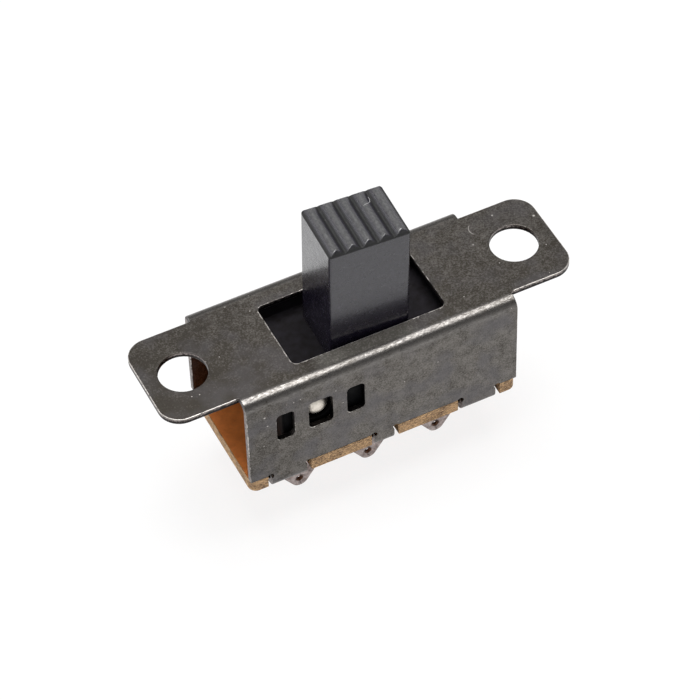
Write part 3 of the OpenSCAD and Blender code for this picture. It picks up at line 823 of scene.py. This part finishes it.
def knob_shell():
    """Knob as one sheet over its plan, hung down at the rim by rings of points at the heights of
    KNOB_RINGS, to the foot inside the carriage. At the rim the sheet falls by a quarter circle
    of radius KNOB_RIM. Then it is leant and turned about its pivot, and moved by its play."""
    x, y, inwards = knob_plan()
    height, clear = ridge_heights(x, y)
    fall = KNOB_RIM - np.sqrt(KNOB_RIM**2 - (KNOB_RIM - np.minimum(inwards, KNOB_RIM)) ** 2)
    top = np.stack([x + KNOB_SHIFT, y, RIDGE_FOOT + height - fall], axis=-1).reshape(-1, 3)
    number = np.arange(x.size).reshape(x.shape)
    ring = np.concatenate([number[:-1, 0], number[-1, :-1], number[:0:-1, -1], number[0, :0:-1]])
    levels = [np.column_stack([top[ring, :2], np.full(len(ring), z)]) for z in KNOB_RINGS]
    hung = x.size + np.arange(len(KNOB_RINGS) * len(ring)).reshape(-1, len(ring))
    wall = np.vstack([ring, hung])
    faces = grid_faces(number) + grid_faces(np.hstack([wall, wall[:, :1]])) + [wall[-1][::-1].tolist()]
    pivot = (KNOB_SHIFT, 0, KNOB_PIVOT)
    askew = np.array(Matrix.Rotation(KNOB_TWIST, 3, "Z") @ Matrix.Rotation(KNOB_LEAN, 3, "Y"))
    points = (np.vstack([top, *levels]) - pivot) @ askew.T + pivot + KNOB_PLAY
    return points, faces, np.concatenate([ridge_wear_and_light(x, y, clear).ravel(), np.zeros(hung.size)])


def scratches(tree, mm, turn, low, high):
    """Thin straight scratches: a noise drawn out along one slanted direction, cut off below low."""
    drawn = build(tree, "Mapping", {"Vector": mm, "Rotation": turn, "Scale": (0.22, 11.0, 11.0)})
    return ramp(tree, noise(tree, drawn.outputs[0], 1.0, detail=2.0, rough=0.5), low, high)


def knob_black():
    """Glossy moulding, smeared and finely scratched. The attribute wear_and_light is -1 in the grooves, which
    get painted shade on a duller surface, 0 on the gloss, 1 on the crests, which are scuffed matt and painted
    lighter, and more on their near ends, which get painted glints."""
    made, tree, mm = start_material("knob_black")
    wear_and_light_share = build(tree, "Attribute", attribute_name="wear_and_light").outputs["Fac"]
    lit_matt, painted_shade = ramp(tree, wear_and_light_share, 0.0, 1.0), ramp(tree, wear_and_light_share, 0.0, -1.0)
    scuff = ramp(tree, noise(tree, mm, 2.4, detail=5.0, rough=0.7), 0.52, 0.75)
    colour = blend(tree, scuff, MOULDING, MOULDING_WORN)
    mottled = ramp(tree, noise(tree, mm, 4.5, detail=4.0, rough=0.75), 0.38, 0.62)
    # Crests: scuffed matt grey that is also painted light.
    colour = blend(tree, lit_matt, colour, blend(tree, mottled, LIT_MATT_DARK, LIT_MATT_LIGHT))
    # Painted shade in the grooves and on the slanted ends.
    colour = blend(tree, painted_shade, colour, GROOVE_SHADE_BLACK)
    # Painted glints at the crests' near ends.
    glint = where(tree, (wear_and_light_share, 1.2, 1.8), (noise(tree, mm, 3.0), 0.45, 0.55))
    colour = blend(tree, product(tree, glint, GLINT_SHARE), colour, SCUFF_AND_GLINT_WHITE)
    scored = scratches(tree, mm, turn=(0.9, 0.2, 0.5), low=0.72, high=0.78)
    colour = blend(tree, product(tree, scored, SCORE_SHARE), colour, SCUFF_AND_GLINT_WHITE)
    x, y, height = coordinates(tree, mm)
    hook = where(tree, (x, *HOOK_LEFT), (y, *HOOK_FAR), (height, *KNOB_TOP))
    hook = product(tree, hook, curved_scratch(tree, mm, *HOOK))
    colour = blend(tree, hook, colour, SCUFF_AND_GLINT_WHITE)
    colour = blend(tree, specks(tree, mm, cells=1.7, size=0.05, share=0.12), colour, SCUFF_AND_GLINT_WHITE)
    smear = spread(tree, noise(tree, mm, 1.7, detail=6.0, rough=0.75), -0.07, 0.15)
    rough = combine(tree, between(tree, lit_matt, GLOSS_ROUGH, MATT_ROUGH), smear)
    finish_material(
        tree,
        {
            "Base Color": colour,
            "Roughness": combine(tree, rough, product(tree, painted_shade, SHADE_ROUGH)),
            "IOR": 1.5,
            "Coat Weight": between(tree, painted_shade, COAT_SHARE, 0.0),
            "Coat Roughness": 0.16,
        },
        height=noise(tree, mm, 2.6, detail=6.0, rough=0.7),
        depth=0.00004,
        strength=0.8,
    )
    return made


def carriage_black():
    """The same moulding, dull, and painted near-black below its top as shade inside the housing, with some
    dust and grease on its top.
    """
    made, tree, mm = start_material("carriage_black")
    grime = spread(tree, noise(tree, mm, 1.6, detail=4.0, rough=0.65))
    top = ramp(tree, coordinates(tree, mm)[2], *CARRIAGE_SURFACE)
    # Painted shade: all but the top is near-black.
    colour = blend(tree, top, CARRIAGE_SHADE_BLACK, blend(tree, grime, CARRIAGE_GRIME, CARRIAGE_WORN))
    finish_material(
        tree,
        {
            "Base Color": colour,
            "Roughness": between(tree, grime, 0.45, 0.7),
            "Specular IOR Level": 0.06,
        },
        height=noise(tree, mm, 4.0, detail=4.0, rough=0.6),
        depth=0.00003,
        strength=0.4,
    )
    return made


bore_planes = [((0, 0, 0), ACROSS), ((0, 0, WINDOW_HEIGHT), UP), ((BORE_ROW, 0, 0), ALONG)]
carriage = merged_copy("slider", "slider_carriage", bore_planes, trim=drop_knob)
carriage.data.materials.append(carriage_black())
round_corners(carriage, CARRIAGE_CORNER)
take_place(carriage, "slider", "slide")

points, faces, wear_and_light = knob_shell()
knob = shell_piece("slider_knob", points, faces, knob_black(), wear_and_light)
take_place(knob, "slider", "slide")

# ---------------------------------------------------------------- detent
# Two polished steel balls, pressed apart by a coil spring in the cross bore of the carriage. At
# rest each one stands out into the middle window of its wall.
POLISHED = (0.91, 0.85, 0.76, 1)
POLISHED_DULL = (0.60, 0.55, 0.49, 1)
WIRE_BRIGHT = (0.60, 0.59, 0.57, 1)
WIRE_DULL = (0.25, 0.24, 0.23, 1)

# Millimetres. BALL_OUT is from the middle of the switch to a ball's middle, and SEAT_GAP is
# between the wire and the ball.
BALL_RADIUS, BALL_OUT = 1.2, 3.95
DETENT_X, DETENT_HEIGHT = 1000 * BORE_ROW, 1000 * WINDOW_HEIGHT
DETENT_COIL, DETENT_WIRE, DETENT_TURNS, SEAT_GAP = 0.85, 0.3, 7, 0.02

# Points round a ball, rings on it and the angle of its first ring; points round a wire and along
# a turn of it; and how far a closed turn rises, in wires.
BALL_POINTS, BALL_RINGS, BALL_POLE = 48, 30, 87
WIRE_POINTS, TURN_POINTS, CLOSED_RISE = 10, 24, 1.12


def tube_faces(count, sides):
    """Quads that join each ring of points to the next, and one face across each end."""
    number = np.arange(count * sides).reshape(count, sides)
    return grid_faces(np.hstack([number, number[:, :1]])) + [number[0].tolist(), number[-1][::-1].tolist()]


def ball_shell(place, radius):
    """Rings of a sphere from the top down: the radius times the cosine of the height's angle is
    each ring's own radius, and its height is the radius times the sine."""
    rise = np.radians(np.linspace(BALL_POLE, -BALL_POLE, BALL_RINGS))[:, None]
    turn = np.linspace(0, 2 * math.pi, BALL_POINTS, endpoint=False)[None, :]
    rings = radius * np.stack(
        [np.cos(rise) * np.cos(turn), np.cos(rise) * np.sin(turn), np.sin(rise) + 0 * turn], axis=-1
    )
    return rings + place, tube_faces(*rings.shape[:2])


def coil_shell(length, coil_radius, wire, turns):
    """Rings of wire round a coil's path. The path goes round the axis, and rises by CLOSED_RISE
    wires in the first and the last turn, and evenly in the working turns between them."""
    turn = np.linspace(0, turns + 2, TURN_POINTS * (turns + 2) + 1)[:, None]
    closed = CLOSED_RISE * wire
    working = (length - wire - 2 * closed) / turns
    closed_turns = np.minimum(turn, 1) + np.maximum(turn - turns - 1, 0)
    rise = wire / 2 + closed * closed_turns + working * np.clip(turn - 1, 0, turns)
    round_wire = np.linspace(0, 2 * math.pi, WIRE_POINTS, endpoint=False)[None, :]
    reach = coil_radius + wire / 2 * np.cos(round_wire)
    angle = 2 * math.pi * turn
    rings = np.stack(
        [reach * np.cos(angle), reach * np.sin(angle), rise + wire / 2 * np.sin(round_wire)], axis=-1
    )
    return rings, tube_faces(*rings.shape[:2])


def metal(name, bright, dull, smooth, rough):
    """Plain metal with a haze of dull spots: its roughness goes from smooth to rough."""
    made, tree, mm = start_material(name)
    haze = noise(tree, mm, 3.0, detail=4.0, rough=0.6)
    finish_material(
        tree,
        {
            "Base Color": blend(tree, ramp(tree, haze, 0.35, 0.75), bright, dull),
            "Metallic": 1.0,
            "Roughness": spread(tree, haze, smooth, rough),
        },
        height=haze,
        depth=0.00001,
        strength=0.3,
    )
    return made


ball_steel = metal("ball_steel", POLISHED, POLISHED_DULL, smooth=0.4, rough=0.5)
for side_name, sign in (("near", -1), ("far", 1)):
    place = np.array([DETENT_X, sign * BALL_OUT, DETENT_HEIGHT])
    ball = shell_piece(f"ball_{side_name}", *ball_shell(place, BALL_RADIUS), ball_steel)
    take_place(ball, f"detent_ball_{side_name}", "slide")

wire_steel = metal("spring_wire", WIRE_BRIGHT, WIRE_DULL, smooth=0.2, rough=0.34)
seat = math.sqrt((BALL_RADIUS + DETENT_WIRE / 2 + SEAT_GAP) ** 2 - DETENT_COIL**2)
detent_length = 2 * (BALL_OUT - seat) + DETENT_WIRE
points, faces = coil_shell(detent_length, DETENT_COIL, DETENT_WIRE, DETENT_TURNS)
laid = np.stack([points[..., 0], detent_length / 2 - points[..., 2], points[..., 1]], axis=-1)
laid += (DETENT_X, 0, DETENT_HEIGHT)
detent_coil = shell_piece("detent_coil", laid, faces, wire_steel)
take_place(detent_coil, "detent_spring", "slide")

# ---------------------------------------------------------------- contacts
# Two bronze strips with turned-up ends, which join the centre pad to a neighbour. Each is pressed
# down by its own coil spring, which stands in a well of the carriage.
BRONZE = (0.70, 0.45, 0.23, 1)
BRONZE_DULL = (0.36, 0.21, 0.11, 1)

# Metres.
BRIDGE_CORNER = 0.00005

# Millimetres.
CONTACT_COIL, CONTACT_WIRE, CONTACT_TURNS = 0.73, 0.24, 5
CONTACT_ROW, CONTACT_FOOT, CONTACT_LENGTH = 3.05, 7.55, 4.93

bronze = metal("rolled_bronze", BRONZE, BRONZE_DULL, smooth=0.2, rough=0.38)
for side_name, sign in (("near", -1), ("far", 1)):
    bridge = merged_copy(f"contact_bridge_{side_name}", f"bridge_{side_name}", [])
    bridge.data.materials.append(bronze)
    round_corners(bridge, BRIDGE_CORNER)
    take_place(bridge, f"contact_bridge_{side_name}", "slide")
    points, faces = coil_shell(CONTACT_LENGTH, CONTACT_COIL, CONTACT_WIRE, CONTACT_TURNS)
    points = points + (0, sign * CONTACT_ROW, CONTACT_FOOT)
    contact_coil = shell_piece(f"contact_coil_{side_name}", points, faces, wire_steel)
    take_place(contact_coil, f"contact_spring_{side_name}", "slide")

# ---------------------------------------------------------------- end
bpy.context.view_layer.update()
